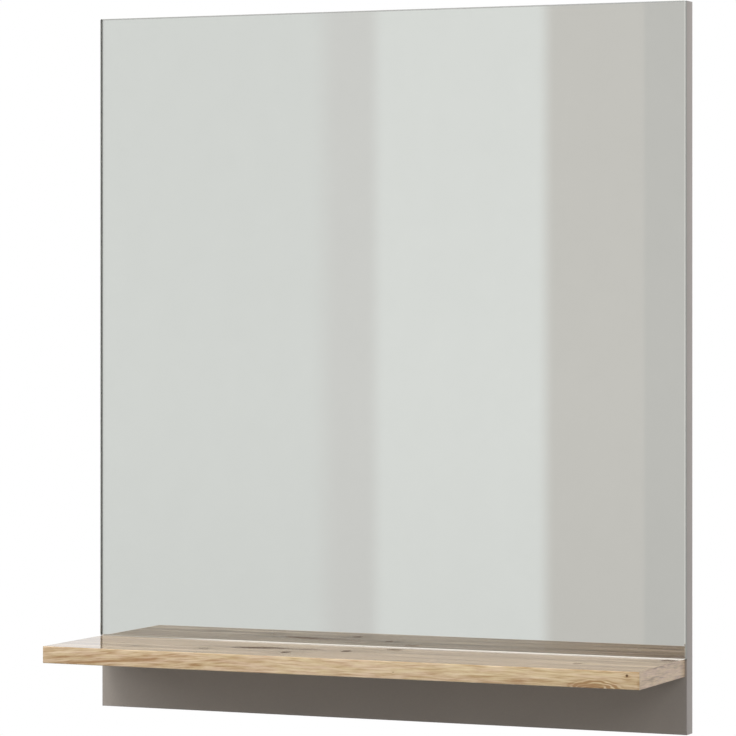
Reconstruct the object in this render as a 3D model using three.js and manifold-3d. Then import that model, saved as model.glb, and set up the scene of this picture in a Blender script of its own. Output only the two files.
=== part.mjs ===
// Wall mirror with a shelf: an edge-banded board that hangs on two keyhole plates, a frameless
// mirror bonded to its front, and an oak-finished shelf screwed and dowelled on below the mirror.
//
// Millimetres. X runs to the right as seen from the front, Y into the wall, Z up.
// The origin is the centre of the board's back face, which lies on the wall.

import * as THREE from 'three';
import { mergeVertices } from 'three/addons/utils/BufferGeometryUtils.js';
import { ConvexGeometry } from 'three/addons/geometries/ConvexGeometry.js';
import Module from 'manifold-3d';

const wasm = await Module();
wasm.setup();

// ---- Driving dimensions --------------------------------------------------------------------

const BOARD = { width: 600, height: 669, thickness: 16, band: 1 };

const SHELF = {
  inset: 2,          // from each side of the board
  underside: 53,     // above the board's lower edge
  thickness: 16,
  depth: 124,        // from the board's front face
  frontBand: 2,
  endBand: 1,
  arris: 1,          // radius on the front band's outer edges
};

const MIRROR = {
  glass: 4,
  arrisWidth: 0.8125, // of the ground front edges, seen from the front
  arrisDepth: 0.5,
  coating: 0.0625,   // silver and its protective paint
  coatingGap: 0.0625,
  adhesive: 0.375,
  shelfGap: 0.3125,  // between the shelf's top and the glass
};

const ADHESIVE = { count: 5, pitch: 120, width: 20, endMargin: 22 };

const SHELF_SCREW = {
  xs: [-200, 0, 200],
  length: 50,
  sink: 0.5,         // head below the board's back face
  headRadius: 5,
  headHeight: 3,
  shoulderRadius: 3.5,
  shoulderLength: 12,
  threadRadius: 3.2,
  coreRadius: 2.4,
  pitch: 3,
  tip: 4,
  socketAcross: 4,
  socketDepth: 3,
};

const DOWEL = {
  xs: [-250, -100, 100, 250],
  radius: 4,
  length: 30,
  chamfer: 1,
  inBoard: 12,
  flutes: 14,
  fluteDepth: 0.3,
};

const HANGER = {
  x: 240,            // from the board's centre line
  z: 270,            // above the board's centre
  width: 70,
  height: 32,
  thickness: 1.5,
  cornerRadius: 4,
  entryRadius: 5.5,
  entryDrop: 4,      // the entry's centre, below the plate's centre
  slotWidth: 5.5,
  slotRise: 8,       // the slot's end centre, above the plate's centre
  screwX: 27,        // from the plate's centre
};

// The pocket behind the keyhole, milled with a round cutter, measured from the plate's centre.
const POCKET = { halfWidth: 11, below: 11, above: 14.5, depth: 9, cutterRadius: 4 };

const HANGER_SCREW = {
  length: 13,
  headRadius: 3.4,
  headHeight: 1.75,
  threadRadius: 1.75,
  coreRadius: 1.15,
  pitch: 1.5,
  tip: 2,
  recessWidth: 0.9,
  recessSpan: 3.8,
  recessDepth: 1.1,
};

const GAP = 0.3;      // clearance round anything that sits in a hole or a recess
const OUTSIDE = 1;    // how far a cutting tool stands out of what it cuts

// ---- Places worked out from them ------------------------------------------------------------

const boardFront = -BOARD.thickness;
const boardTop = BOARD.height / 2;
const shelfUnderside = -boardTop + SHELF.underside;
const shelfTop = shelfUnderside + SHELF.thickness;
const shelfMiddle = (shelfUnderside + shelfTop) / 2;
const shelfFront = boardFront - SHELF.depth;
const shelfHalf = BOARD.width / 2 - SHELF.inset;
const coatingBack = boardFront - MIRROR.adhesive;
const glassBack = coatingBack - MIRROR.coating - MIRROR.coatingGap;
const glassFront = glassBack - MIRROR.glass;
const glassBottom = shelfTop + MIRROR.shelfGap;
const glassMiddle = (glassBottom + boardTop) / 2;
const glassHeight = boardTop - glassBottom;
const HANGERS = [{ side: 'left', x: -HANGER.x }, { side: 'right', x: HANGER.x }];

// ---- Finishes -------------------------------------------------------------------------------

const finish = (color, roughness, metalness = 0) =>
  new THREE.MeshStandardMaterial({ color, roughness, metalness });

const TAUPE = finish(0x8a8078, 0.45);
const TAUPE_BAND = finish(0x9a908a, 0.4);
const OAK = finish(0xc2a984, 0.4);
const OAK_BAND = finish(0xc8ad85, 0.42);
const GLASS = finish(0xd3d8d2, 0.03);
const SILVER = finish(0xd8dad8, 0.05, 1);
const ADHESIVE_GREY = finish(0xbfc0bd, 0.8);
const BEECH = finish(0xd9b98c, 0.7);
const ZINC = finish(0xb9bbb8, 0.35, 1);
const GALVANISED = finish(0xa9adae, 0.45, 1);

// ---- Solids: joining and cutting closed meshes ----------------------------------------------

/** A closed three.js geometry as a solid, its shared corners merged. */
function solid(geometry) {
  const bare = geometry.clone();
  bare.deleteAttribute('normal');
  bare.deleteAttribute('uv');
  const merged = mergeVertices(bare, 1e-5);
  return new wasm.Manifold(new wasm.Mesh({
    numProp: 3,
    vertProperties: new Float32Array(merged.attributes.position.array),
    triVerts: new Uint32Array(merged.index.array),
  }));
}

/** A solid as a three.js geometry. */
function geometryOf(body) {
  const mesh = body.getMesh();
  const geometry = new THREE.BufferGeometry();
  geometry.setAttribute('position', new THREE.BufferAttribute(new Float32Array(mesh.vertProperties), 3));
  geometry.setIndex(new THREE.BufferAttribute(new Uint32Array(mesh.triVerts), 1));
  geometry.computeVertexNormals();
  return geometry;
}

/** The first geometry with all the others cut out of it. */
function cut(base, tools) {
  return geometryOf(tools.reduce((body, tool) => body.subtract(solid(tool)), solid(base)));
}

/** A box between two corners. */
function block(low, high) {
  const [x, y, z] = high.map((value, axis) => value - low[axis]);
  const geometry = new THREE.BoxGeometry(x, y, z);
  return geometry.translate(low[0] + x / 2, low[1] + y / 2, low[2] + z / 2);
}

/** A turned solid on an axis along Y, from [radius, y] pairs that run from the lowest y up. */
function turned(profile, segments) {
  return new THREE.LatheGeometry(profile.map(([r, y]) => new THREE.Vector2(r, y)), segments);
}

/** A plain round bar along Y between two places. */
function bar(radius, low, high, segments = 24) {
  return turned([[0, low], [radius, low], [radius, high], [0, high]], segments);
}

/** A rectangle with rounded corners, drawn in X and Z, centred on X. */
function roundedOutline(halfWidth, bottom, top, r) {
  const outline = new THREE.Shape();
  outline.moveTo(halfWidth, bottom + r);
  outline.absarc(halfWidth - r, top - r, r, 0, Math.PI / 2, false);
  outline.absarc(r - halfWidth, top - r, r, Math.PI / 2, Math.PI, false);
  outline.absarc(r - halfWidth, bottom + r, r, Math.PI, Math.PI * 1.5, false);
  outline.absarc(halfWidth - r, bottom + r, r, Math.PI * 1.5, Math.PI * 2, false);
  return outline;
}

/** A flat slab of an outline drawn in X and Z, from y 0 down to minus its thickness. */
function slab(outline, thickness, curveSegments = 6) {
  const geometry = new THREE.ExtrudeGeometry(outline, {
    depth: thickness, bevelEnabled: false, curveSegments,
  });
  return geometry.rotateX(Math.PI / 2);
}

/** [radius, y] pairs of a screw thread's outline, from its tip up to where the thread ends. */
function threadOutline({ coreRadius, threadRadius, pitch, tip }, tipY, endY) {
  const turns = Math.floor((endY - tipY - tip) / pitch);
  const outline = [[0, tipY], [coreRadius * 0.4, tipY], [coreRadius, tipY + tip]];
  for (let turn = 0; turn < turns; turn += 1) {
    const y = tipY + tip + turn * pitch;
    outline.push([threadRadius, y + pitch * 0.4], [coreRadius, y + pitch * 0.8]);
  }
  return outline;
}

// ---- The board and its bands ----------------------------------------------------------------

/** The shallow recess for a hanger plate and the deeper pocket behind its keyhole. */
function hangerRecess({ x }) {
  const plate = roundedOutline(
    HANGER.width / 2 + GAP, -HANGER.height / 2 - GAP, HANGER.height / 2 + GAP, HANGER.cornerRadius + GAP,
  );
  const pocket = roundedOutline(POCKET.halfWidth, -POCKET.below, POCKET.above, POCKET.cutterRadius);
  return [
    slab(plate, HANGER.thickness + OUTSIDE),
    slab(pocket, HANGER.thickness + POCKET.depth + OUTSIDE),
  ].map((tool) => tool.translate(x, OUTSIDE, HANGER.z));
}

/** The pilot holes for one hanger plate's two screws. */
function hangerPilots({ x }) {
  return [-1, 1].map((end) =>
    bar(HANGER_SCREW.threadRadius + GAP, -HANGER_SCREW.length - GAP, OUTSIDE, 12)
      .translate(x + end * HANGER.screwX, 0, HANGER.z));
}

/** The stepped hole that a shelf screw passes through, from behind the board to its front. */
function shelfScrewHole(x) {
  const shoulder = SHELF_SCREW.shoulderRadius + GAP;
  const head = SHELF_SCREW.headRadius + GAP;
  const coneTop = -SHELF_SCREW.sink;
  const coneFoot = coneTop - SHELF_SCREW.headHeight - GAP;
  const start = boardFront - OUTSIDE;
  return turned([
    [0, start], [shoulder, start], [shoulder, coneFoot], [head, coneTop - GAP],
    [head, OUTSIDE], [0, OUTSIDE],
  ], 24).translate(x, 0, shelfMiddle);
}

/** A blind dowel hole between two places along Y. */
function dowelHole(x, low, high) {
  return bar(DOWEL.radius + GAP, low, high, 20).translate(x, 0, shelfMiddle);
}

function backBoard() {
  const halfWidth = BOARD.width / 2 - BOARD.band;
  const halfHeight = boardTop - BOARD.band;
  return cut(block([-halfWidth, boardFront, -halfHeight], [halfWidth, 0, halfHeight]), [
    ...HANGERS.flatMap(hangerRecess),
    ...HANGERS.flatMap(hangerPilots),
    ...SHELF_SCREW.xs.map(shelfScrewHole),
    ...DOWEL.xs.map((x) => dowelHole(x, boardFront - OUTSIDE, boardFront + DOWEL.inBoard + GAP)),
  ]);
}

/** One of the upright bands, which run the board's full height. */
function uprightBand(side) {
  const outer = side * BOARD.width / 2;
  const inner = side * (BOARD.width / 2 - BOARD.band);
  return block(
    [Math.min(outer, inner), boardFront, -boardTop],
    [Math.max(outer, inner), 0, boardTop],
  );
}

/** One of the level bands, which lie between the upright ones. */
function levelBand(side) {
  const halfWidth = BOARD.width / 2 - BOARD.band;
  const outer = side * boardTop;
  const inner = side * (boardTop - BOARD.band);
  return block(
    [-halfWidth, boardFront, Math.min(outer, inner)],
    [halfWidth, 0, Math.max(outer, inner)],
  );
}

// ---- The mirror -----------------------------------------------------------------------------

/** The glass: a sheet whose front edges are ground to a narrow flat arris all round. */
function mirrorGlass() {
  const halfWidth = BOARD.width / 2;
  const halfHeight = glassHeight / 2;
  const levels = [
    { y: glassBack, inset: 0 },
    { y: glassFront + MIRROR.arrisDepth, inset: 0 },
    { y: glassFront, inset: MIRROR.arrisWidth },
  ];
  const corners = levels.flatMap(({ y, inset }) => [[-1, -1], [1, -1], [1, 1], [-1, 1]].map(([x, z]) =>
    new THREE.Vector3(x * (halfWidth - inset), y, z * (halfHeight - inset))));
  return new ConvexGeometry(corners);
}

function mirrorCoating() {
  const halfWidth = BOARD.width / 2;
  return block(
    [-halfWidth, coatingBack - MIRROR.coating, -glassHeight / 2],
    [halfWidth, coatingBack, glassHeight / 2],
  );
}

/** An upright line of adhesive, pressed flat between the coating and the board. */
function adhesiveLine() {
  const halfHeight = glassHeight / 2 - ADHESIVE.endMargin;
  return block(
    [-ADHESIVE.width / 2, coatingBack, -halfHeight],
    [ADHESIVE.width / 2, boardFront, halfHeight],
  );
}

// ---- The shelf ------------------------------------------------------------------------------

function shelfBoard() {
  const half = shelfHalf - SHELF.endBand;
  const screwTip = -SHELF_SCREW.sink - SHELF_SCREW.length - GAP;
  return cut(block(
    [-half, shelfFront + SHELF.frontBand, shelfUnderside],
    [half, boardFront, shelfTop],
  ), [
    ...SHELF_SCREW.xs.map((x) =>
      bar(SHELF_SCREW.shoulderRadius + GAP, screwTip, boardFront + OUTSIDE).translate(x, 0, shelfMiddle)),
    ...DOWEL.xs.map((x) =>
      dowelHole(x, boardFront + DOWEL.inBoard - DOWEL.length - GAP, boardFront + OUTSIDE)),
  ]);
}

/** The front band: its section, with two rounded outer edges, carried along the shelf's length. */
function shelfFrontBand() {
  const low = -SHELF.thickness / 2;
  const high = SHELF.thickness / 2;
  const r = SHELF.arris;
  const section = new THREE.Shape();
  section.moveTo(SHELF.frontBand, low);
  section.lineTo(SHELF.frontBand, high);
  section.lineTo(r, high);
  section.absarc(r, high - r, r, Math.PI / 2, Math.PI, false);
  section.absarc(r, low + r, r, Math.PI, Math.PI * 1.5, false);
  section.closePath();
  const geometry = new THREE.ExtrudeGeometry(section, {
    depth: 2 * shelfHalf, bevelEnabled: false, curveSegments: 4,
  });
  // The section is drawn in Y and Z, and the length then runs along X.
  const axes = new THREE.Matrix4().makeBasis(
    new THREE.Vector3(0, 1, 0), new THREE.Vector3(0, 0, 1), new THREE.Vector3(1, 0, 0),
  );
  return geometry.applyMatrix4(axes).translate(-shelfHalf, shelfFront, 0);
}

function shelfEndBand() {
  const halfBand = SHELF.endBand / 2;
  return block(
    [-halfBand, shelfFront + SHELF.frontBand, -SHELF.thickness / 2],
    [halfBand, boardFront, SHELF.thickness / 2],
  );
}

/** A fluted dowel with chamfered ends, along Y from 0 to minus its length. */
function dowel() {
  const steps = DOWEL.flutes * 2;
  const points = Array.from({ length: steps }, (_, step) => {
    const angle = (step / steps) * Math.PI * 2;
    const r = DOWEL.radius - (step % 2) * DOWEL.fluteDepth;
    return new THREE.Vector2(r * Math.cos(angle), r * Math.sin(angle));
  });
  const fluted = slab(new THREE.Shape(points), DOWEL.length);
  const { radius, length, chamfer } = DOWEL;
  const chamfered = turned([
    [0, -length], [radius - chamfer, -length], [radius, chamfer - length],
    [radius, -chamfer], [radius - chamfer, 0], [0, 0],
  ], steps);
  return geometryOf(solid(fluted).intersect(solid(chamfered)));
}

/** A shelf screw with a sunk head and a hexagon socket, its head's top at y 0. */
function shelfScrew() {
  const { headRadius, headHeight, shoulderRadius, shoulderLength, length } = SHELF_SCREW;
  const threadEnd = -headHeight - shoulderLength;
  const body = turned([
    ...threadOutline(SHELF_SCREW, -length, threadEnd),
    [SHELF_SCREW.coreRadius, threadEnd], [shoulderRadius, threadEnd],
    [shoulderRadius, -headHeight], [headRadius, -GAP], [headRadius, 0], [0, 0],
  ], 16);
  const socketRadius = SHELF_SCREW.socketAcross / Math.sqrt(3);
  const socket = bar(socketRadius, -SHELF_SCREW.socketDepth, OUTSIDE, 6);
  return cut(body, [socket]);
}

// ---- The hangers ----------------------------------------------------------------------------

/** The keyhole: a round entry with a slot that rises from it to a round end. */
function keyholePath() {
  const half = HANGER.slotWidth / 2;
  const reach = Math.asin(half / HANGER.entryRadius);
  const path = new THREE.Path();
  path.absarc(0, -HANGER.entryDrop, HANGER.entryRadius, Math.PI / 2 - reach, Math.PI / 2 + reach, true);
  path.absarc(0, HANGER.slotRise, half, Math.PI, 0, true);
  path.closePath();
  return path;
}

/** A steel plate with rounded corners, a keyhole and two sunk screw holes, its face at y 0. */
function hangerPlate() {
  const half = HANGER.height / 2;
  const outline = roundedOutline(HANGER.width / 2, -half, half, HANGER.cornerRadius);
  outline.holes.push(keyholePath());
  const foot = HANGER_SCREW.threadRadius + GAP;
  const sink = HANGER_SCREW.headRadius + GAP;
  const below = -HANGER.thickness - OUTSIDE;
  const holes = [-1, 1].map((end) => turned([
    [0, below], [foot, below], [foot, -HANGER.thickness], [sink, 0], [sink, OUTSIDE], [0, OUTSIDE],
  ], 20).translate(end * HANGER.screwX, 0, 0));
  return cut(slab(outline, HANGER.thickness, 10), holes);
}

/** A short countersunk screw with a cross recess, its head's top at y 0. */
function hangerScrew() {
  const { headRadius, headHeight, threadRadius, length } = HANGER_SCREW;
  const body = turned([
    ...threadOutline(HANGER_SCREW, -length, -headHeight),
    [threadRadius * 0.8, -headHeight], [headRadius, -0.2], [headRadius, 0], [0, 0],
  ], 14);
  const { recessWidth, recessSpan, recessDepth } = HANGER_SCREW;
  const arms = [[recessSpan, recessWidth], [recessWidth, recessSpan]].map(([x, z]) =>
    block([-x / 2, -recessDepth, -z / 2], [x / 2, OUTSIDE, z / 2]));
  return cut(body, arms);
}

// ---- The assembly ---------------------------------------------------------------------------

/** A named sub-part, placed in its group. */
function piece(name, geometry, material, [x, y, z] = [0, 0, 0]) {
  const mesh = new THREE.Mesh(geometry, material);
  mesh.name = name;
  mesh.position.set(x, y, z);
  return mesh;
}

function boardAssembly() {
  const group = new THREE.Group();
  group.add(
    piece('back_board', backBoard(), TAUPE),
    piece('board_edge_left', uprightBand(-1), TAUPE_BAND),
    piece('board_edge_right', uprightBand(1), TAUPE_BAND),
    piece('board_edge_top', levelBand(1), TAUPE_BAND),
    piece('board_edge_bottom', levelBand(-1), TAUPE_BAND),
  );
  return group;
}

function mirrorAssembly() {
  const group = new THREE.Group();
  group.position.set(0, 0, glassMiddle);
  group.add(
    piece('mirror_glass', mirrorGlass(), GLASS),
    piece('mirror_coating', mirrorCoating(), SILVER),
  );
  for (let line = 0; line < ADHESIVE.count; line += 1) {
    const x = (line - (ADHESIVE.count - 1) / 2) * ADHESIVE.pitch;
    group.add(piece(`mirror_adhesive_${line + 1}`, adhesiveLine(), ADHESIVE_GREY, [x, 0, 0]));
  }
  return group;
}

function shelfAssembly() {
  const group = new THREE.Group();
  const endX = shelfHalf - SHELF.endBand / 2;
  group.add(
    piece('shelf_board', shelfBoard(), OAK),
    piece('shelf_edge_front', shelfFrontBand(), OAK_BAND, [0, 0, shelfMiddle]),
    piece('shelf_edge_left', shelfEndBand(), OAK_BAND, [-endX, 0, shelfMiddle]),
    piece('shelf_edge_right', shelfEndBand(), OAK_BAND, [endX, 0, shelfMiddle]),
  );
  DOWEL.xs.forEach((x, index) => {
    const place = [x, boardFront + DOWEL.inBoard, shelfMiddle];
    group.add(piece(`shelf_dowel_${index + 1}`, dowel(), BEECH, place));
  });
  SHELF_SCREW.xs.forEach((x, index) => {
    const place = [x, -SHELF_SCREW.sink, shelfMiddle];
    group.add(piece(`shelf_screw_${index + 1}`, shelfScrew(), ZINC, place));
  });
  return group;
}

/** One hanger plate with its two screws. */
function hangerAssembly({ side, x }) {
  const group = new THREE.Group();
  group.position.set(x, 0, HANGER.z);
  group.add(piece(`hanger_plate_${side}`, hangerPlate(), GALVANISED));
  [-1, 1].forEach((end, index) => {
    const place = [end * HANGER.screwX, 0, 0];
    group.add(piece(`hanger_screw_${side}_${index + 1}`, hangerScrew(), ZINC, place));
  });
  return group;
}

const group = new THREE.Group();
group.add(boardAssembly(), mirrorAssembly(), shelfAssembly(), ...HANGERS.map(hangerAssembly));

export default group;
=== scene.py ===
"""Wall mirror with a shelf: a taupe board hung on keyhole plates, a mirror with ground edges bonded
to its front, and an oak-finished shelf below the mirror.

Metres throughout. X runs to the right as seen from the front, Y into the wall, Z up, and the origin
is the centre of the board's back face. Tones are written as they look, 0 to 255 in sRGB. Colours
of four numbers are linear shares of the light, and alpha.
"""

import math

import bpy
import numpy as np
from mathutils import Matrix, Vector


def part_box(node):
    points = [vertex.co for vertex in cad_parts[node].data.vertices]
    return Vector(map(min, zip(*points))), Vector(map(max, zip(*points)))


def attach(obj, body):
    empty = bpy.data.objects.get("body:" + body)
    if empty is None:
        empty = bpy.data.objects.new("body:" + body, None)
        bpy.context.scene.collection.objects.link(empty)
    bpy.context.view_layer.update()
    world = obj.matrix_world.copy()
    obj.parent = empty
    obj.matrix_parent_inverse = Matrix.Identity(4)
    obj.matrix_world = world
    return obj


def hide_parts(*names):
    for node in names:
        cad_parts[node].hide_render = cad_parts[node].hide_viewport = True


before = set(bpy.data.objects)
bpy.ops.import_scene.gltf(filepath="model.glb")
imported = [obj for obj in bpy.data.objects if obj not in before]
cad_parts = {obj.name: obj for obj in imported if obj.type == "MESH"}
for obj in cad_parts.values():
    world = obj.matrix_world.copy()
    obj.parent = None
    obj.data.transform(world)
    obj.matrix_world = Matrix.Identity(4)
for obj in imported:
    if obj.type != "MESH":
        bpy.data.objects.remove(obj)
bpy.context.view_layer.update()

BODY = "root"
MM = 0.001

# ---- Places taken from the frame ------------------------------------------------------------

board_low, board_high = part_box("back_board")
glass_low, glass_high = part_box("mirror_glass")
shelf_low, shelf_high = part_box("shelf_board")
front_band_low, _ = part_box("shelf_edge_front")

SHELF_TOP = shelf_high.z
SHELF_UNDERSIDE = shelf_low.z
SHELF_FRONT = front_band_low.y

# ---- Camera ---------------------------------------------------------------------------------

FOCAL_MM = 183.08
SENSOR_MM = 36.0
CAMERA_PLACE = (1.4026, -3.2544, 0.07404)
CAMERA_TURN = math.radians(23.672)   # to the left of straight at the wall; the camera is level
CAMERA_SHIFT = -0.1105


def make_camera():
    """A level camera to the right of the mirror, shifted down so that the uprights stay upright."""
    lens = bpy.data.cameras.new("camera")
    lens.lens = FOCAL_MM
    lens.sensor_width = SENSOR_MM
    lens.shift_y = CAMERA_SHIFT
    camera = bpy.data.objects.new("camera", lens)
    camera.location = CAMERA_PLACE
    camera.rotation_euler = (math.radians(90), 0, CAMERA_TURN)
    bpy.context.scene.collection.objects.link(camera)
    bpy.context.scene.camera = camera


# ---- Shader writing -------------------------------------------------------------------------


def seen(red, green, blue):
    """A tone as it looks, 0 to 255, as the linear RGBA that a socket holds."""
    parts = [value / 255 for value in (red, green, blue)]
    linear = [p / 12.92 if p <= 0.04045 else ((p + 0.055) / 1.055) ** 2.4 for p in parts]
    return (*linear, 1.0)


NOISE = (0.3, 0.7)       # between which most of a smooth noise lies


class Wire:
    """One output of a node. Arithmetic on it adds Math nodes."""

    def __init__(self, shader, socket):
        self.shader = shader
        self.socket = socket

    def math(self, operation, *others):
        settings = {"operation": operation}
        return self.shader.add("ShaderNodeMath", settings, dict(enumerate((self, *others))))

    def __add__(self, other):
        return self.math("ADD", other)

    def __sub__(self, other):
        return self.math("SUBTRACT", other)

    def __rsub__(self, other):
        return self.math("MULTIPLY_ADD", -1, other)

    def __mul__(self, other):
        return self.math("MULTIPLY", other)

    def __truediv__(self, other):
        return self.math("DIVIDE", other)

    def __pow__(self, other):
        return self.math("POWER", other)

    __radd__ = __add__
    __rmul__ = __mul__

    def bell(self):
        """1 where the value is 0, falling away as the exponential of minus the value."""
        return (self * -1).math("EXPONENT")

    def rise(self, low, high, start=0.0, end=1.0):
        """Eases from start to end while the value goes from low to high."""
        return self.shader.add(
            "ShaderNodeMapRange", {"interpolation_type": "SMOOTHSTEP"},
            {"Value": self, "From Min": low, "From Max": high, "To Min": start, "To Max": end})

    def stretch(self, low, high):
        """0 at low and 1 at high, straight between them and held beyond."""
        return self.shader.add(
            "ShaderNodeMapRange", {"clamp": True},
            {"Value": self, "From Min": low, "From Max": high})


class Shader:
    """The nodes of one material or of the world."""

    def __init__(self, tree):
        self.tree = tree
        tree.nodes.clear()

    def add(self, kind, settings=None, inputs=None, out=0):
        """Adds a node: its settings first, then the values or links of its sockets."""
        node = self.tree.nodes.new(kind)
        for key, value in (settings or {}).items():
            if key == "stops":
                self.set_stops(node.color_ramp.elements, value)
            else:
                setattr(node, key, value)
        for key, value in (inputs or {}).items():
            if isinstance(value, Wire):
                self.tree.links.new(value.socket, node.inputs[key])
            else:
                node.inputs[key].default_value = value
        return Wire(self, node.outputs[out]) if node.outputs else None

    @staticmethod
    def set_stops(elements, stops):
        while len(elements) < len(stops):
            elements.new(1.0)
        for element, (place, colour) in zip(elements, stops):
            element.position = place
            element.color = colour

    def place(self):
        """The Object coordinates, as x, y and z."""
        point = self.add("ShaderNodeTexCoord", out="Object")
        return [self.add("ShaderNodeSeparateXYZ", None, {0: point}, out=axis) for axis in "XYZ"]

    def vector(self, x, y, z):
        return self.add("ShaderNodeCombineXYZ", None, {"X": x, "Y": y, "Z": z})

    def noise(self, point, detail=2.0, roughness=0.5):
        """Smooth noise whose lumps are about one unit across."""
        return self.add("ShaderNodeTexNoise", None, {
            "Vector": point, "Scale": 1.0, "Detail": detail, "Roughness": roughness})

    def cells(self, point, out="Color"):
        """Cells about one unit across: their random colours, or the distance from their middles."""
        return self.add("ShaderNodeTexVoronoi", {"feature": "F1"},
                        {"Vector": point, "Scale": 1.0}, out=out)

    def mix(self, mask, first, second, blend="MIX"):
        """The first colour where the mask is 0, the second where it is 1."""
        settings = {"data_type": "RGBA", "blend_type": blend}
        return self.add("ShaderNodeMix", settings, {0: mask, 6: first, 7: second}, out=2)

    def ramp(self, value, stops):
        return self.add("ShaderNodeValToRGB", {"stops": stops}, {"Fac": value}, out="Color")

    def bump(self, height, depth):
        """A Normal for a height of 0 to 1 that stands for a real depth in metres."""
        return self.add("ShaderNodeBump", None,
                        {"Height": height, "Distance": depth, "Strength": 1.0})

    def surface(self, **inputs):
        """The Principled shader as the material's surface; socket names use _ for a space."""
        named = {key.replace("_", " "): value for key, value in inputs.items()}
        shader = self.add("ShaderNodeBsdfPrincipled", None, named)
        self.add("ShaderNodeOutputMaterial", None, {"Surface": shader})


def new_material(name):
    material = bpy.data.materials.new(name)
    material.use_nodes = True
    return material, Shader(material.node_tree)


# ---- Finishes -------------------------------------------------------------------------------

TAUPE = (169, 161, 153)
TAUPE_BAND = (163, 155, 150)
CHIP_TONES = [(140, 110, 78), (186, 156, 118), (212, 188, 150), (168, 134, 96)]
CHIP_GAP_TONE = (84, 62, 42)
SILVER_SHADES = (0.84, 0.845, 0.84, 1), (0.85, 0.855, 0.85, 1)
GLASS_TINT = (0.99, 0.994, 0.989, 1)
SEALING_TONES = (144, 146, 141), (164, 166, 161)
PAINT_TONES = (112, 116, 118), (124, 128, 129)
ADHESIVE_TONES = (176, 177, 172), (204, 204, 199)
BEECH_TONES = [(0.32, (184, 142, 98)), (0.5, (216, 178, 132)), (0.7, (230, 200, 158))]
ZINC_TONES = (186, 190, 192), (214, 216, 214)
CRYSTAL_TONES = [(0.0, (150, 155, 158)), (0.5, (178, 182, 184)), (1.0, (200, 203, 204))]


def shades(tone, darker, lighter):
    """Two shades of a tone, each as a share of it."""
    return [seen(*(value * share for value in tone)) for share in (darker, lighter)]


def stops_of(tones):
    """A ramp's stops, from places and tones."""
    return [(place, seen(*tone)) for place, tone in tones]


def taupe_laminate():
    """Matt taupe melamine: an even colour with a fine pearl grain pressed into it."""
    material, s = new_material("taupe_laminate")
    x, y, z = s.place()
    cloud = s.noise(s.vector(x * 9, y * 9, z * 9), detail=3)
    pearl = s.noise(s.vector(x * 1400, y * 1400, z * 1400), detail=2)
    tone = (cloud - 0.5) * 0.5 + (pearl - 0.5) * 0.7
    colour = s.mix(tone.stretch(-0.3, 0.3), *shades(TAUPE, 0.955, 1.04))
    s.surface(Base_Color=colour, Roughness=pearl.rise(*NOISE, 0.42, 0.56),
              Specular_IOR_Level=0.35, Normal=s.bump(pearl, 0.03 * MM))
    return material


def taupe_band():
    """The board's plastic edge band: a satin taupe with faint drawn lines along its length."""
    material, s = new_material("taupe_band")
    x, y, z = s.place()
    drawn = s.noise(s.vector(x * 500, y * 1100, z * 500), detail=2)
    cloud = s.noise(s.vector(x * 14, y * 60, z * 14), detail=2)
    tone = (drawn - 0.5) * 0.5 + (cloud - 0.5) * 0.6
    colour = s.mix(tone.stretch(-0.3, 0.3), *shades(TAUPE_BAND, 0.95, 1.04))
    s.surface(Base_Color=colour, Roughness=drawn.rise(*NOISE, 0.34, 0.46),
              Specular_IOR_Level=0.4, Normal=s.bump(drawn, 0.02 * MM))
    return material


def raw_chipboard():
    """Cut chipboard in the recesses and holes: pressed chips of a few millimetres with dark gaps."""
    material, s = new_material("raw_chipboard")
    x, y, z = s.place()
    ragged = s.noise(s.vector(x * 700, y * 700, z * 700), detail=2)
    chip = s.vector(x * 260 + ragged * 1.2, y * 900 + ragged, z * 420 + ragged * 1.4)
    shade = s.cells(chip, out="Color")
    pick = s.add("ShaderNodeSeparateColor", None, {"Color": shade}, out=0)
    gap = s.cells(chip, out="Distance").rise(0.35, 0.75)
    stops = stops_of(zip((0.0, 0.35, 0.7, 1.0), CHIP_TONES))
    colour = s.mix(gap * 0.6, s.ramp(pick, stops), seen(*CHIP_GAP_TONE))
    s.surface(Base_Color=colour, Roughness=0.85, Specular_IOR_Level=0.2,
              Normal=s.bump(1 - gap, 0.25 * MM))
    return material


def silvered():
    """The silver on the glass's back: a clean mirror, a trace uneven as real silver is."""
    material, s = new_material("mirror_silver")
    x, _, z = s.place()
    wipe = s.noise(s.vector(x * 30, 0.0, z * 22), detail=3)
    colour = s.mix(wipe.stretch(*NOISE), *SILVER_SHADES)
    s.surface(Base_Color=colour, Metallic=1.0, Roughness=0.0)
    return material


def clear_glass():
    """Clear float glass with a trace of green."""
    material, s = new_material("mirror_glass")
    s.surface(Base_Color=GLASS_TINT, Roughness=0.0, IOR=1.52, Transmission_Weight=1.0)
    return material


def sealed_edge():
    """The glass's ground edges under a coat of grey sealing lacquer."""
    material, s = new_material("mirror_sealed_edge")
    x, y, z = s.place()
    ground = s.noise(s.vector(x * 2200, y * 2600, z * 500), detail=2)
    colour = s.mix(ground.stretch(*NOISE), *[seen(*tone) for tone in SEALING_TONES])
    s.surface(Base_Color=colour, Roughness=ground.rise(*NOISE, 0.38, 0.6),
              Normal=s.bump(ground, 0.03 * MM))
    return material


def backing_paint():
    """Grey protective paint on the back of the silver."""
    material, s = new_material("mirror_backing_paint")
    x, y, z = s.place()
    orange_peel = s.noise(s.vector(x * 350, y * 350, z * 350), detail=2)
    colour = s.mix(orange_peel.stretch(*NOISE), *[seen(*tone) for tone in PAINT_TONES])
    s.surface(Base_Color=colour, Roughness=0.5, Normal=s.bump(orange_peel, 0.05 * MM))
    return material


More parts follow.
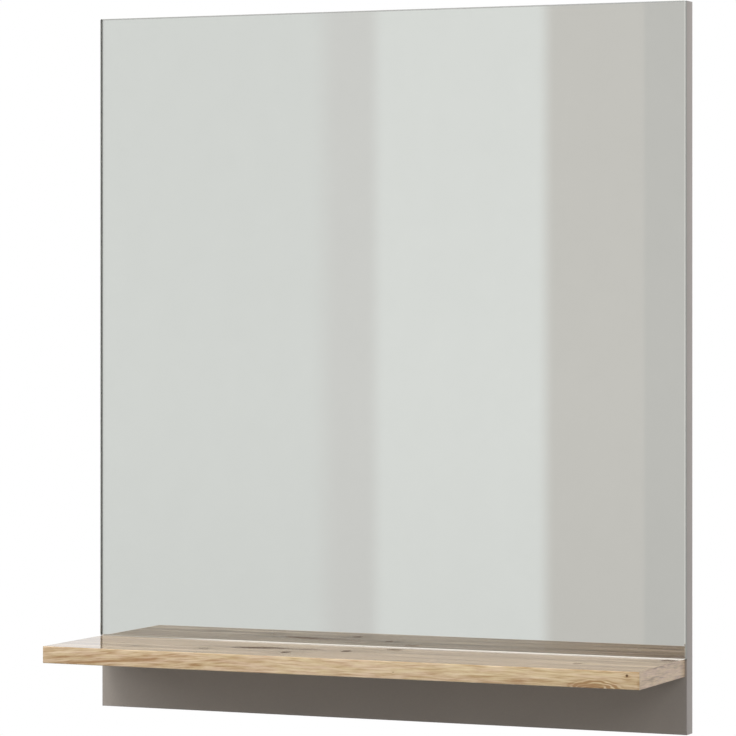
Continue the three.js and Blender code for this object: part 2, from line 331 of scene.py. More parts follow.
def mirror_adhesive():
    """Off-white mirror adhesive, drawn out in ridges by the nozzle and pressed flat."""
    material, s = new_material("mirror_adhesive")
    x, y, z = s.place()
    ridges = s.noise(s.vector(x * 420, y * 300, z * 30), detail=3)
    colour = s.mix(ridges.stretch(*NOISE), *[seen(*tone) for tone in ADHESIVE_TONES])
    s.surface(Base_Color=colour, Roughness=0.7, Specular_IOR_Level=0.3,
              Normal=s.bump(ridges, 0.15 * MM))
    return material


# The oak print of each face: its colours from light to dark; its layers of streaks as their weight,
# how many streaks there are to the metre along and across, and their detail; how much the streaks,
# the pores and the patches of other hues show; the range of its gloss; and the depth of its
# embossing.
OAK_TOP = {
    "tones": [(210, 188, 158), (172, 148, 120), (112, 88, 65), (74, 50, 28)],
    "layers": [(0.40, 2.2, 55, 2), (0.44, 9, 120, 2), (0.16, 30, 460, 3)], "contrast": 1.5,
    "pores": 0.22, "hue": 1.0, "roughness": (0.04, 0.08), "relief": 0.003 * MM,
}
OAK_FRONT = {
    "tones": [(228, 209, 176), (208, 184, 150), (166, 131, 92), (86, 58, 36)],
    "layers": [(0.18, 3, 90, 2), (0.22, 14, 280, 2), (0.60, 46, 640, 4)], "contrast": 1.0,
    "pores": 0.25, "hue": 0.5, "roughness": (0.34, 0.46), "relief": 0.05 * MM,
}
OAK_END = {
    "tones": [(230, 208, 184), (204, 181, 158), (134, 112, 94), (98, 80, 64)],
    "layers": [(0.24, 6, 110, 2), (0.38, 24, 300, 2), (0.38, 70, 700, 3)], "contrast": 1.0,
    "pores": 0.5, "hue": 0.45, "roughness": (0.36, 0.5), "relief": 0.05 * MM,
}
OAK_TONE_PLACES = (0.08, 0.48, 0.86)        # of the dark, middle and light tone, from 0 to 1
PORE_STREAKS = (60, 2600, 2, 0.54, 0.68)    # to the metre along and across, detail, noise range
HUE_STREAKS = (34, 260, 2, 0.36, 0.64)
YELLOWER = (0.98, 0.995, 0.87, 1)
PINKER = (1.03, 0.975, 1.09, 1)
MARK_ROUGHNESS = 0.55    # added where a knot or a crack dulls the gloss


class Grain:
    """Oak grain on one face. along and plain are the coordinates along the board and across it, in
    metres; across is the plain one once the grain has been bent, so that what is drawn on it
    follows the bends. A mark's place and size are in millimetres, its place from the face's
    origin: start is the origin's place along the board, and edge its place across it."""

    def __init__(self, shader, along, plain, seed, start, edge):
        self.s = shader
        self.along = along
        self.plain = plain
        self.across = plain
        self.seed = seed
        self.start = start
        self.edge = edge
        self.dark = 0.0
        self.shade = 0.0
        self.yellow = 0.0
        self.ragged = shader.noise(shader.vector(along * 260, plain * 260, seed), detail=3) - 0.5

    def ellipse(self, along, across, long, wide, slope=0.0):
        """0 at a place and 1 on an ellipse round it, as the square of the distance."""
        onward = self.along - (self.start + along * MM)
        u = onward / (long * MM)
        v = (self.plain - (self.edge + across * MM) - onward * slope) / (wide * MM)
        return u * u + v * v

    def drift(self, amount, along_scale, across_scale):
        """Lets the grain wander sideways by up to an amount in metres."""
        point = self.s.vector(self.along * along_scale, self.plain * across_scale, self.seed)
        self.across = self.across + (self.s.noise(point, detail=1) - 0.5) * (2 * amount)

    def slant(self, before, slope):
        """Lets the grain climb by a slope up to a place, and run level beyond it."""
        reach = (self.along - before).math("SMOOTH_MIN", 0.0, 0.08)
        self.across = self.across - reach * slope

    def knot(self, along, across, long, wide, depth):
        """A dark knot, with the grain pushed aside by it and a soft shade around it."""
        square = self.ellipse(along, across, long, wide)
        self.dark = (square + self.ragged * 1.4).rise(0.2, 1.5, depth, 0.0) + self.dark
        near = (square * 0.12).bell()
        self.across = self.across - (self.plain - (self.edge + across * MM)) * near * 0.75
        self.shade = near * (0.3 * depth) + self.shade

    def crack(self, along, across, long, wide, slope, depth):
        """A long dark patch that tapers out at both ends."""
        square = self.ellipse(along, across, long, wide, slope)
        self.dark = (square + self.ragged * 1.2).rise(0.1, 1.4, depth, 0.0) + self.dark

    def dusk(self, along, across, long, wide, depth, slope=0.0):
        """A broad soft shade."""
        self.shade = self.ellipse(along, across, long, wide, slope).bell() * depth + self.shade

    def swirl(self, along, across, long, wide, rings, depth):
        """Rings round a place, as where a branch lay under the surface: a wave of the distance."""
        square = self.ellipse(along, across, long, wide)
        point = self.s.vector(self.along * 60, self.plain * 200, self.seed)
        distance = square ** 0.5 + (self.s.noise(point, detail=2) - 0.5) * 0.5
        wave = (distance * (rings * 2 * math.pi)).math("SINE")
        mask = square.rise(0.35, 1.1, depth, 0.0)
        self.shade = (wave * 0.5 + 0.32) * mask + self.shade

    def streaks(self, along_scale, across_scale, detail, low=NOISE[0], high=NOISE[1]):
        """Streaks along the grain, from 0 to 1: dark to light."""
        point = self.s.vector(self.along * along_scale, self.across * across_scale, self.seed + 3)
        return self.s.noise(point, detail=detail, roughness=0.55).stretch(low, high)


def oak_finish(name, print_, direction, seed, origin, shape):
    """Printed oak with an embossed grain. direction picks the coordinates along and across the
    board, origin is the place along and across it that the marks are measured from, and shape
    adds the face's own bends, knots and cracks."""
    material, s = new_material(name)
    grain = Grain(s, *direction(*s.place()), seed, *origin)
    shape(grain)
    layers = [grain.streaks(*scales) * weight for weight, *scales in print_["layers"]]
    pores = grain.streaks(*PORE_STREAKS)
    tone = (sum(layers) - 0.5) * print_["contrast"] + 0.5 - grain.shade
    light, middle, dark, deep = [seen(*colour) for colour in print_["tones"]]
    colour = s.ramp(tone, list(zip(OAK_TONE_PLACES, (dark, middle, light))))
    patch = grain.streaks(*HUE_STREAKS) - grain.yellow
    hue = s.mix(patch, YELLOWER, PINKER)
    colour = s.mix(print_["hue"], colour, s.mix(1.0, colour, hue, "MULTIPLY"))
    colour = s.mix(pores * print_["pores"], colour, dark)
    colour = s.mix(grain.dark, colour, deep)
    roughness = tone.rise(0.0, 1.0, *print_["roughness"]) + grain.dark * MARK_ROUGHNESS
    s.surface(Base_Color=colour, Roughness=roughness,
              Normal=s.bump(layers[-1] - pores, print_["relief"]))
    return material


def along_x_across_y(x, y, z):
    return x, y


def along_x_across_z(x, y, z):
    return x, z


def along_y_across_z(x, y, z):
    return y, z


def top_shape(grain):
    """Small knots scattered over the top, a cracked stripe along its middle, and painted shade that
    darkens its right part. Its origin is the middle of its front edge."""
    grain.drift(0.007, 3.2, 14)
    grain.drift(0.0015, 18, 60)
    grain.knot(-221, 40, 4.5, 5.5, 0.38)
    grain.knot(-150.5, 44.5, 5, 6, 0.5)
    grain.knot(-63.4, 39, 4.5, 7, 1.0)
    grain.knot(-16, 71.5, 5, 7.5, 0.9)
    grain.knot(222.5, 48.5, 5, 6, 0.65)
    grain.knot(20.5, 101, 9, 8, 0.7)
    grain.knot(288, 107, 8, 8, 0.7)
    grain.crack(-105, 68.5, 28, 9.5, 0.2, 0.85)
    grain.crack(-62, 72, 26, 6.5, 0.05, 0.52)
    grain.dusk(30, 70, 180, 9, 0.42)
    # Painted shade: a broad darkening over the right of the top, standing in for the dimmer
    # reflection that falls there.
    grain.dusk(300, 70, 200, 200, 0.1)
    grain.dusk(-110, 68, 50, 12, 0.35, 0.2)


def front_shape(grain):
    """Grain that climbs at the left, and a branch's rings at the lower right. Its origin is the
    middle of its lower edge."""
    grain.drift(0.0030, 7, 40)
    grain.drift(0.0007, 34, 160)
    grain.slant(-0.1500, 0.085)
    grain.yellow = grain.along.rise(0.0, 0.25, 0.0, 0.3)
    grain.dusk(-300, 8, 110, 30, 0.05)
    grain.dusk(230, 8, 120, 30, 0.05)
    grain.swirl(257, -1.3, 29, 10, 4.4, 1.0)
    grain.dusk(247, 2, 18, 2.6, 0.35)
    grain.dusk(297.3, 5.5, 1.1, 7.5, 0.18)
    grain.dusk(157, 6.2, 22, 1.1, 0.3, 0.02)
    grain.dusk(190, 3.5, 28, 1, 0.22, 0.02)
    grain.dusk(-236, 4, 45, 1, 0.45, 0.072)
    grain.dusk(-199, 7.6, 10, 1, 0.35, 0.06)
    grain.dusk(-278, 7.2, 16, 1.1, 0.4, 0.09)
    grain.dusk(-186, 10.3, 13, 1.1, 0.22, 0.03)
    grain.dusk(-125, 4.7, 30, 1.6, 0.24, 0.02)
    grain.knot(286.5, 12.3, 1.3, 1.3, 0.95)
    grain.knot(62, 6.1, 0.6, 0.6, 0.6)


def end_shape(grain):
    """Short grain that slants a little, darker in a band below the middle. Its origin is its lower
    front corner."""
    grain.across = grain.across + grain.along * 0.05
    grain.drift(0.0022, 26, 80)
    grain.yellow = grain.along.rise(SHELF_FRONT, SHELF_FRONT + 22 * MM, 0.5, 0.0)
    grain.dusk(35, 7.2, 12, 1.1, 0.34, 0.06)
    grain.dusk(60, 6.3, 8, 1.2, 0.3)
    grain.dusk(98, 5.8, 12, 1.4, 0.14)
    grain.dusk(40, 10.5, 26, 0.7, 0.24, -0.06)
    grain.dusk(70, 16, 70, 0.7, 0.3)


def beech():
    """Bare turned beech: pale, with short darker flecks along the dowel."""
    material, s = new_material("dowel_beech")
    x, y, z = s.place()
    flecks = s.noise(s.vector(x * 1300, y * 160, z * 1300), detail=2)
    rings = s.noise(s.vector(x * 260, y * 12, z * 260), detail=2)
    tone = rings * 0.5 + flecks * 0.5
    s.surface(Base_Color=s.ramp(tone, stops_of(BEECH_TONES)), Roughness=0.72,
              Specular_IOR_Level=0.25, Normal=s.bump(flecks, 0.04 * MM))
    return material


def zinc_plate():
    """Bright zinc plate on a rolled screw."""
    material, s = new_material("screw_zinc")
    x, y, z = s.place()
    bath = s.noise(s.vector(x * 420, y * 420, z * 420), detail=3)
    fine = s.noise(s.vector(x * 3000, y * 3000, z * 3000), detail=1)
    colour = s.mix(bath.stretch(*NOISE), *[seen(*tone) for tone in ZINC_TONES])
    s.surface(Base_Color=colour, Metallic=1.0, Roughness=bath.rise(*NOISE, 0.24, 0.4),
              Normal=s.bump(fine, 0.01 * MM))
    return material


def galvanised():
    """Galvanised sheet: large soft crystals of zinc, each with its own grey."""
    material, s = new_material("hanger_galvanised")
    x, y, z = s.place()
    ragged = s.noise(s.vector(x * 260, y * 260, z * 260), detail=2)
    point = s.vector(x * 190 + ragged, y * 190 + ragged, z * 190 + ragged)
    crystal = s.add("ShaderNodeSeparateColor", None, {"Color": s.cells(point)}, out=0)
    s.surface(Base_Color=s.ramp(crystal, stops_of(CRYSTAL_TONES)), Metallic=1.0,
              Roughness=crystal.rise(0.0, 1.0, 0.34, 0.52), Normal=s.bump(ragged, 0.02 * MM))
    return material


# ---- Meshes ---------------------------------------------------------------------------------


def enclosed_volume(vertices, faces):
    """Six times the volume inside flat faces, positive where they point out."""
    total = 0.0
    for face in faces:
        corners = vertices[face]
        first = corners[:, :1]
        total += np.einsum("ijk,ijk->", np.repeat(first, corners.shape[1] - 2, 1),
                           np.cross(corners[:, 1:-1], corners[:, 2:]))
    return total


def skin(rings):
    """A closed skin over rings of points: an array of stations x points x 3. Each ring is joined
    to the next by quads, and a flat many-sided face closes each end."""
    stations, points, _ = rings.shape
    index = np.arange(stations * points).reshape(stations, points)
    onward = np.roll(index, -1, axis=1)
    quads = np.stack([index[:-1], onward[:-1], onward[1:], index[1:]], -1).reshape(-1, 4)
    ends = np.stack([index[0][::-1], index[-1]])
    vertices = rings.reshape(-1, 3)
    if enclosed_volume(vertices, [quads, ends]) < 0:
        quads, ends = quads[:, ::-1], ends[:, ::-1]
    return vertices, [*quads.tolist(), *ends.tolist()]


def add_piece(name, vertices, faces, materials, replaces, smooth_angle=None, chosen=None):
    """A finished piece of the object, in place in the frame. chosen is the number of each face's
    material, where there are several."""
    mesh = bpy.data.meshes.new(name)
    mesh.from_pydata(vertices.tolist(), [], faces)
    for material in materials:
        mesh.materials.append(material)
    if chosen is not None:
        mesh.polygons.foreach_set("material_index", np.asarray(chosen, np.int32))
    if smooth_angle is not None:
        mesh.shade_smooth()
        mesh.set_sharp_from_angle(angle=math.radians(smooth_angle))
    piece = bpy.data.objects.new(name, mesh)
    bpy.context.scene.collection.objects.link(piece)
    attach(piece, BODY)
    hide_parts(replaces)


def quarter(radius, steps):
    """Points of a quarter circle as (across, down) from its corner: from one side to the other."""
    turn = np.linspace(0, math.pi / 2, steps)
    return radius * (1 - np.cos(turn)), radius * (1 - np.sin(turn))


# ---- Edge bands -----------------------------------------------------------------------------

BOARD_BAND_ROUNDING = 0.5 * MM
SHELF_FRONT_ROUNDING = 1.0 * MM
SHELF_END_ROUNDING = 0.4 * MM
BAND_ARC_STEPS = 6
BAND_END_ROUNDING = 0.12 * MM
BAND_END_STEPS = 4


def band_section(thickness, width, radius):
    """The outline of an edge band: a strip glued along its left side, from (0, -width/2) to
    (0, width/2), whose two outer corners are quarter circles."""
    turn = np.linspace(0, math.pi / 2, BAND_ARC_STEPS)
    upper = np.stack([thickness - radius + radius * np.sin(turn),
                      width / 2 - radius + radius * np.cos(turn)], -1)
    lower = upper[::-1] * (1, -1)
    return np.concatenate([[[0, -width / 2], [0, width / 2]], upper, lower])


def edge_band(node, out, length, radius, material):
    """Replaces a CAD band by one with rounded outer edges: its section, carried along its length
    and drawn in a little over the last tenth of a millimetre at each end.

    out is the signed axis that the band faces, such as (0, -1) for -X; length is the axis it
    runs along."""
    low, high = (np.array(corner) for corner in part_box(node))
    out_axis, sign = out
    width_axis = 3 - out_axis - length
    size = high - low
    section = band_section(size[out_axis], size[width_axis], radius)
    inset, along = quarter(BAND_END_ROUNDING, BAND_END_STEPS)
    stations = np.concatenate([low[length] + along[::-1], high[length] - along])
    insets = np.concatenate([inset[::-1], inset])[:, None]
    glued = low[out_axis] if sign > 0 else high[out_axis]
    rings = np.empty((len(stations), len(section), 3))
    rings[..., length] = stations[:, None]
    rings[..., out_axis] = glued + sign * np.clip(
        section[:, 0], 0, size[out_axis] - insets)
    middle = (low[width_axis] + high[width_axis]) / 2
    half = size[width_axis] / 2 - insets
    rings[..., width_axis] = middle + np.clip(section[:, 1], -half, half)
    vertices, faces = skin(rings)
    add_piece(node + "_rounded", vertices, faces, [material], node, smooth_angle=40)


# ---- Glass ----------------------------------------------------------------------------------

ARRIS_WIDTH = 0.8125 * MM    # the ground front edges, seen from the front
ARRIS_DEPTH = 0.5 * MM
GLASS_CORNER = 1.5 * MM
GLASS_SEAT = 0.02 * MM       # what is left between the glass and the shelf it stands on
CORNER_STEPS = 7


def rounded_rectangle(low, high, radius):
    """Points round a rectangle in X and Z, with a quarter circle at each of its corners."""
    turn = np.linspace(0, math.pi / 2, CORNER_STEPS) + np.arange(4)[:, None] * math.pi / 2
    right = np.array([1, 0, 0, 1], bool)[:, None]
    upper = np.array([1, 1, 0, 0], bool)[:, None]
    x = np.where(right, high[0] - radius, low[0] + radius) + radius * np.cos(turn)
    z = np.where(upper, high[1] - radius, low[1] + radius) + radius * np.sin(turn)
    return np.stack([x.ravel(), z.ravel()], -1)


def ground_glass(clear, silver, sealed):
    """Replaces the glass by a sheet that stands on the shelf: the same outline at its back and
    where the arris starts, then drawn in by the arris's width at its front."""
    low = np.array([glass_low.x, SHELF_TOP + GLASS_SEAT])
    high = np.array([glass_high.x, glass_high.z])
    levels = [(glass_high.y, 0.0), (glass_low.y + ARRIS_DEPTH, 0.0), (glass_low.y, ARRIS_WIDTH)]
    rings = []
    for y, inset in levels:
        outline = rounded_rectangle(low + inset, high - inset, GLASS_CORNER - inset)
        rings.append(np.insert(outline, 1, y, axis=1))
    vertices, faces = skin(np.stack(rings))
    sides = len(rings[0])
    chosen = [2] * sides + [0] * sides + [1, 0]
    add_piece("mirror_glass_ground", vertices, faces, [clear, silver, sealed],
              "mirror_glass", chosen=chosen)


# ---- Screws ---------------------------------------------------------------------------------

SCREW_ANGLES = 48
STEPS_PER_PITCH = 12
RIDGE_SHARE = 0.22       # of the pitch, from a ridge's crest to its foot
POINT_SHARE = 0.06       # of the thread's radius, at the very tip
RIM_HEIGHT = 0.3 * MM    # of the head's upright rim, above its cone
RIM_BREAK = 0.1 * MM, 0.08 * MM      # the width and the depth of the rim's broken edge
MOUTH_BREAK = 0.12 * MM, 0.1 * MM    # the same at the recess's mouth
FOOT_SHARE = 0.05        # of the recess's radius, where its foot ends


def driven_screw(node, head, thread, recess, material):
    """Replaces a CAD screw by one with a helical thread and a driver recess.

    The skin's radius is a function of the angle and the way along the axis: the core, plus a
    ridge wherever the way along, less the angle's share of the pitch, is near a whole pitch.
    The head's cone and the recess continue the same grid, inwards over the head's face and then
    down the recess's walls to its foot."""
    low, high = (np.array(corner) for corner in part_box(node))
    x, z = (low[0] + high[0]) / 2, (low[2] + high[2]) / 2
    top, tip = high[1], low[1]
    angle = np.linspace(0, 2 * math.pi, SCREW_ANGLES, endpoint=False)[None, :]
    shank = np.arange(tip, top - head["height"], thread["pitch"] / STEPS_PER_PITCH)[:, None]
    taper = np.clip((shank - tip) / thread["tip"], POINT_SHARE, 1)
    end = np.clip((top - head["height"] - thread["plain"] - shank) / thread["pitch"], 0, 1)
    phase = (shank - tip) / thread["pitch"] - angle / (2 * math.pi)
    ridge = np.clip(1 - np.abs((phase % 1) - 0.5) / RIDGE_SHARE, 0, 1)
    core = np.where(end > 0, thread["core"], thread["shoulder"])
    radius = core * taper + (thread["radius"] - thread["core"]) * ridge * end * taper
    flat = np.ones_like(angle)
    rim = recess["radius"](angle)
    head_ways = [
        (top - head["height"], flat * thread["shoulder"]),
        (top - RIM_HEIGHT, flat * head["radius"]),
        (top - RIM_BREAK[1], flat * head["radius"]),
        (top, flat * (head["radius"] - RIM_BREAK[0])),
        (top, rim + MOUTH_BREAK[0]),
        (top - MOUTH_BREAK[1], rim),
        (top - recess["depth"], rim * recess["foot"]),
        (top - recess["depth"] - recess["point"], rim * FOOT_SHARE),
    ]
    ways = np.concatenate([shank, [[way] for way, _ in head_ways]])
    radii = np.concatenate([radius, *[r for _, r in head_ways]])
    rings = np.stack([x + radii * np.cos(angle), np.broadcast_to(ways, radii.shape),
                      z + radii * np.sin(angle)], -1)
    vertices, faces = skin(rings)
    add_piece(node + "_threaded", vertices, faces, [material], node,
              smooth_angle=35)


def hexagon(across):
    """The radius of a hexagonal socket at each angle."""
    sixth = math.pi / 3
    return lambda angle: across / 2 / np.cos((angle % sixth) - sixth / 2)


def cross(span, width):
    """The radius of a cross recess at each angle: the nearer of an arm's end and its side."""
    right = math.pi / 2

    def radius(angle):
        turn = (angle + right / 2) % right - right / 2
        side = np.abs(np.sin(turn)).clip(1e-6)
        return np.minimum(span / 2 / np.cos(turn), width / 2 / side)
    return radius


SHELF_SCREW_HEAD = {"radius": 5 * MM, "height": 3 * MM}
SHELF_SCREW_THREAD = {
    "radius": 3.2 * MM, "core": 2.4 * MM, "shoulder": 3.4 * MM, "plain": 12 * MM,
    "pitch": 3 * MM, "tip": 4 * MM}
SHELF_SCREW_RECESS = {
    "radius": hexagon(4 * MM), "depth": 2.7 * MM, "foot": 1.0, "point": 0.3 * MM}
HANGER_SCREW_HEAD = {"radius": 3.4 * MM, "height": 1.75 * MM}
HANGER_SCREW_THREAD = {
    "radius": 1.75 * MM, "core": 1.15 * MM, "shoulder": 1.3 * MM, "plain": 0.6 * MM,
    "pitch": 1.5 * MM, "tip": 2 * MM}
HANGER_SCREW_RECESS = {
    "radius": cross(3.8 * MM, 0.9 * MM), "depth": 0.9 * MM, "foot": 0.7, "point": 0.5 * MM}


# ---- CAD nodes that keep their shape --------------------------------------------------------

DEBURRING = 0.15 * MM
DEBURRED_ANGLE = 40      # degrees that an edge turns by, at least
FACE_TOLERANCE = 0.02 * MM


def dress(node, material):
    """Gives a CAD node its one finish."""
    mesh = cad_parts[node].data
    mesh.materials.clear()
    mesh.materials.append(material)


def dress_by_face(node, materials, choose):
    """Gives a CAD node several finishes: choose takes the faces' centres, and gives the number of
    each face's material."""
    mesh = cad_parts[node].data
    mesh.materials.clear()
    for material in materials:
        mesh.materials.append(material)
    centres = np.empty(len(mesh.polygons) * 3, np.float32)
    mesh.polygons.foreach_get("center", centres)
    chosen = choose(centres.reshape(-1, 3))
    mesh.polygons.foreach_set("material_index", chosen.astype(np.int32))


def deburred(node, material):
    """Replaces a CAD node by a merged copy whose edges are broken by a small bevel."""
    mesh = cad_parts[node].data.copy()
    mesh.materials.clear()
    mesh.materials.append(material)
    piece = bpy.data.objects.new(node + "_deburred", mesh)
    bpy.context.scene.collection.objects.link(piece)
    weld = piece.modifiers.new("weld", "WELD")
    weld.merge_threshold = 0.001 * MM
    bevel = piece.modifiers.new("bevel", "BEVEL")
    bevel.width = DEBURRING
    bevel.segments = 2
    bevel.limit_method = "ANGLE"
    bevel.angle_limit = math.radians(DEBURRED_ANGLE)
    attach(piece, BODY)
    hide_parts(node)


def off_both(places, low, high):
    """0 for the places at the low or the high one, 1 for the rest."""
    return np.where(np.minimum(abs(places - low), abs(places - high)) < FACE_TOLERANCE, 0, 1)


def board_faces(centres):
    """Laminate on the board's two broad faces, raw chipboard in every cut."""
    return off_both(centres[:, 1], board_low.y, board_high.y)


def shelf_faces(centres):
    """Oak on the shelf's top and underside, raw chipboard elsewhere."""
    return off_both(centres[:, 2], SHELF_UNDERSIDE, SHELF_TOP)


# ---- Stage ----------------------------------------------------------------------------------

FLOOR_DROP = 1.1
FLOOR_RADIUS = 8.5
FLOOR_RINGS, FLOOR_POINTS = 40, 96
FLOOR_FADE = (3.0, 8.0)
PAPER_TONES = (232, 232, 231), (237, 237, 236)
BOUNCE_TONE = (150, 150, 149)        # what the floor sends back to the object
AMBIENT = 0.42

# What the mirror shows of the studio, in the colours that it shows. Directions are in degrees:
# to the left of straight ahead, and up.
FIRST_PANEL_TONE = (188, 187, 183)
PANELS = [               # where each next panel fades in, and its tone
    ((19.4, 19.5), (195, 193, 188)),
    ((20.8, 21.1), (214, 216, 213)),
    ((23.4, 23.7), (203, 203, 200)),
    ((24.1, 24.6), (209, 211, 208)),
]
FAR_LEFT, FAR_LEFT_TONE = (29.0, 33.0), (207, 206, 201)
DIM_GAP, DIM_GAP_TONE = (12.5, 16.5), (152, 153, 150)
RIGHT_SIDE, RIGHT_TONE = (-2.0, 3.0), (206, 207, 204)
LOW, LOW_TONE = (-12.0, -7.0), (190, 190, 187)
SHADE, SHADE_SHARE = (-7.0, -1.0), 0.06
HORIZON, HORIZON_TONE = (4.3, 4.9), (208, 196, 179)
GLOSS_TURN, GLOSS_LEFT_TONE, GLOSS_RIGHT_TONE = (19.4, 22.0), (152, 149, 141), (118, 109, 99)
STRIP, STRIP_OVER, DIM_TONE = (11.8, 12.8), (14.0, 14.7), (150, 142, 132)
UPPER, UPPER_TONE, UPPER_END_TONE = (18.0, 19.5), (250, 244, 236), (186, 179, 169)
UPPER_END = (24.0, 25.4)
UPPER_SLANT = 0.17       # degrees left for each degree up, along the upper part's end
MIRROR_SHARE = 0.837     # of the studio's light that the mirror sends back
BEHIND = (-0.1, 0.1)     # of a direction's Y, where the white behind the object fades in


def studio_panels(s, left, up, through_glass):
    """The studio in front of the mirror: panels side by side with a dim gap to their right, a
    dim horizon, a low strip of light and a bright upper part. through_glass is 1 for what the
    mirror itself shows, and 0 for what a glossy surface does."""
    shown = seen(*FIRST_PANEL_TONE)
    for fade, tone in PANELS:
        shown = s.mix(left.rise(*fade), shown, seen(*tone))
    shown = s.mix(left.rise(*FAR_LEFT), shown, seen(*FAR_LEFT_TONE))
    shown = s.mix(left.rise(*DIM_GAP, 1.0, 0.0), shown, seen(*DIM_GAP_TONE))
    shown = s.mix(left.rise(*RIGHT_SIDE, 1.0, 0.0), shown, seen(*RIGHT_TONE))
    shown = s.mix(up.rise(*SHADE, SHADE_SHARE, 0.0), shown, (0, 0, 0, 1))
    shown = s.mix(up.rise(*LOW, 1.0, 0.0), shown, seen(*LOW_TONE))
    gloss = s.mix(left.rise(*GLOSS_TURN), seen(*GLOSS_RIGHT_TONE), seen(*GLOSS_LEFT_TONE))
    horizon = s.mix(through_glass, gloss, seen(*HORIZON_TONE))
    shown = s.mix(up.rise(*HORIZON), shown, horizon)
    upper_end = (left - up * UPPER_SLANT).rise(*UPPER_END)
    upper = s.mix(upper_end, seen(*UPPER_TONE), seen(*UPPER_END_TONE))
    shown = s.mix(up.rise(*STRIP), shown, upper)
    shown = s.mix(up.rise(*STRIP_OVER), shown, seen(*DIM_TONE))
    return s.mix(up.rise(*UPPER), shown, upper)


def make_world():
    """White for the camera, plain grey light on the object, and soft pale panels for the mirror."""
    world = bpy.data.worlds.new("studio")
    world.use_nodes = True
    bpy.context.scene.world = world
    s = Shader(world.node_tree)
    direction = s.add("ShaderNodeTexCoord", out="Generated")
    x, y, z = [s.add("ShaderNodeSeparateXYZ", None, {0: direction}, out=axis) for axis in "XYZ"]
    left = (x * -1).math("ARCTAN2", y * -1) * math.degrees(1)
    up = z.math("ARCSINE") * math.degrees(1)
    camera, glossy, through_glass = [
        s.add("ShaderNodeLightPath", out=f"Is {path} Ray")
        for path in ("Camera", "Glossy", "Transmission")]
    panels = studio_panels(s, left, up, through_glass)
    bright = s.add("ShaderNodeVectorMath", {"operation": "SCALE"},
                   {0: panels, "Scale": 1 / MIRROR_SHARE})
    shown = s.mix(y.rise(*BEHIND), bright, (1, 1, 1, 1))
    colour = s.mix(glossy.math("MAXIMUM", through_glass), (AMBIENT, AMBIENT, AMBIENT, 1), shown)
    colour = s.mix(camera, colour, (1, 1, 1, 1))
    light = s.add("ShaderNodeBackground", None, {"Color": colour, "Strength": 1.0})
    s.add("ShaderNodeOutputWorld", None, {"Surface": light})


def make_floor():
    """A pale round floor well below the object, which fades into the white background, and is clear
    from below. Its rings are circles whose radius grows with the square of their number."""
    shape = FLOOR_RINGS, FLOOR_POINTS
    radius = FLOOR_RADIUS * (np.arange(1, FLOOR_RINGS + 1)[:, None] / FLOOR_RINGS) ** 2
    turn = np.linspace(0, 2 * math.pi, FLOOR_POINTS, endpoint=False)[None, :]
    height = np.full(shape, board_low.z - FLOOR_DROP)
    grid = np.stack([radius * np.cos(turn), radius * np.sin(turn), height], -1)
    vertices = grid.reshape(-1, 3)
    index = np.arange(FLOOR_RINGS * FLOOR_POINTS).reshape(shape)
    onward = np.roll(index, -1, axis=1)
    quads = np.stack([index[:-1], index[1:], onward[1:], onward[:-1]], -1).reshape(-1, 4)
    mesh = bpy.data.meshes.new("floor")
    mesh.from_pydata(vertices.tolist(), [], [*quads.tolist(), index[0].tolist()])
    material, s = new_material("floor_paper")
    x, y, _ = s.place()
    away = (x * x + y * y) ** 0.5
    paper = s.noise(s.vector(x * 60, y * 60, 0.0), detail=2)
    colour = s.mix(paper.stretch(*NOISE), *[seen(*tone) for tone in PAPER_TONES])
    bounced = s.add("ShaderNodeLightPath", out="Is Diffuse Ray")
    colour = s.mix(bounced, colour, seen(*BOUNCE_TONE))
    matt = s.add("ShaderNodeBsdfDiffuse", None, {"Color": colour})
    clear = s.add("ShaderNodeBsdfTransparent")
    underneath = s.add("ShaderNodeNewGeometry", out="Backfacing")
    fade = away.rise(*FLOOR_FADE).math("MAXIMUM", underneath)
    faded = s.add("ShaderNodeMixShader", None, {0: fade, 1: matt, 2: clear})
    s.add("ShaderNodeOutputMaterial", None, {"Surface": faded})
    mesh.materials.append(material)
    floor = bpy.data.objects.new("floor", mesh)
    bpy.context.scene.collection.objects.link(floor)


def make_lamp(name, azimuth, elevation, distance, size, power):
    """A square soft lamp aimed at the object; azimuth 0 is straight in front, positive right."""
    light = bpy.data.lights.new(name, "AREA")
    light.size = size
    light.energy = power
    lamp = bpy.data.objects.new(name, light)
    turn, lift = math.radians(azimuth), math.radians(elevation)
    lamp.location = (distance * math.sin(turn) * math.cos(lift),
                     -distance * math.cos(turn) * math.cos(lift),
                     distance * math.sin(lift))
    lamp.rotation_euler = (math.radians(90) - lift, 0, turn)
    lamp.visible_camera = False
    lamp.visible_glossy = False
    lamp.visible_transmission = False
    bpy.context.scene.collection.objects.link(lamp)


# ---- The object -----------------------------------------------------------------------------


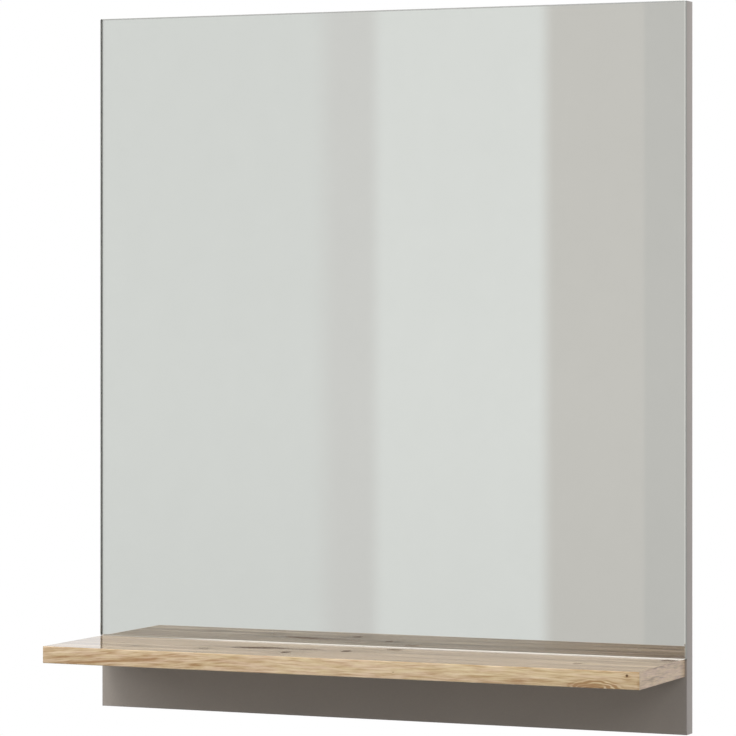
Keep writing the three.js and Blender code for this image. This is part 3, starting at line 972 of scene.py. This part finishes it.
def build_board():
    laminate, band, chipboard = taupe_laminate(), taupe_band(), raw_chipboard()
    dress_by_face("back_board", [laminate, chipboard], board_faces)
    for node, out, length in [("board_edge_left", (0, -1), 2), ("board_edge_right", (0, 1), 2),
                              ("board_edge_top", (2, 1), 0), ("board_edge_bottom", (2, -1), 0)]:
        edge_band(node, out, length, BOARD_BAND_ROUNDING, band)
    return chipboard


def build_mirror():
    ground_glass(clear_glass(), silvered(), sealed_edge())
    dress("mirror_coating", backing_paint())
    adhesive = mirror_adhesive()
    for line in range(1, 6):
        dress(f"mirror_adhesive_{line}", adhesive)


def build_shelf(chipboard):
    top = oak_finish("shelf_oak_top", OAK_TOP, along_x_across_y, 2.7,
                     (0.0, SHELF_FRONT), top_shape)
    front = oak_finish("shelf_oak_front", OAK_FRONT, along_x_across_z, 7.1,
                       (0.0, SHELF_UNDERSIDE), front_shape)
    ends = oak_finish("shelf_oak_end", OAK_END, along_y_across_z, 11.9,
                      (SHELF_FRONT, SHELF_UNDERSIDE), end_shape)
    dress_by_face("shelf_board", [top, chipboard], shelf_faces)
    edge_band("shelf_edge_front", (1, -1), 0, SHELF_FRONT_ROUNDING, front)
    edge_band("shelf_edge_left", (0, -1), 1, SHELF_END_ROUNDING, ends)
    edge_band("shelf_edge_right", (0, 1), 1, SHELF_END_ROUNDING, ends)


def build_fittings():
    wood, zinc, sheet_steel = beech(), zinc_plate(), galvanised()
    for number in range(1, 5):
        dress(f"shelf_dowel_{number}", wood)
    for number in range(1, 4):
        driven_screw(f"shelf_screw_{number}", SHELF_SCREW_HEAD, SHELF_SCREW_THREAD,
                     SHELF_SCREW_RECESS, zinc)
    for side in ("left", "right"):
        deburred(f"hanger_plate_{side}", sheet_steel)
        for number in (1, 2):
            driven_screw(f"hanger_screw_{side}_{number}", HANGER_SCREW_HEAD,
                         HANGER_SCREW_THREAD, HANGER_SCREW_RECESS, zinc)


make_camera()
build_shelf(build_board())
build_mirror()
build_fittings()
make_world()
make_floor()
make_lamp("side_lamp", azimuth=-58, elevation=26, distance=4.0, size=2.6, power=56)
make_lamp("front_lamp", azimuth=-12, elevation=30, distance=4.0, size=1.6, power=79)
make_lamp("right_lamp", azimuth=80, elevation=35, distance=4.5, size=2.0, power=80)
bpy.context.scene.view_settings.view_transform = "Standard"

bpy.context.view_layer.update()
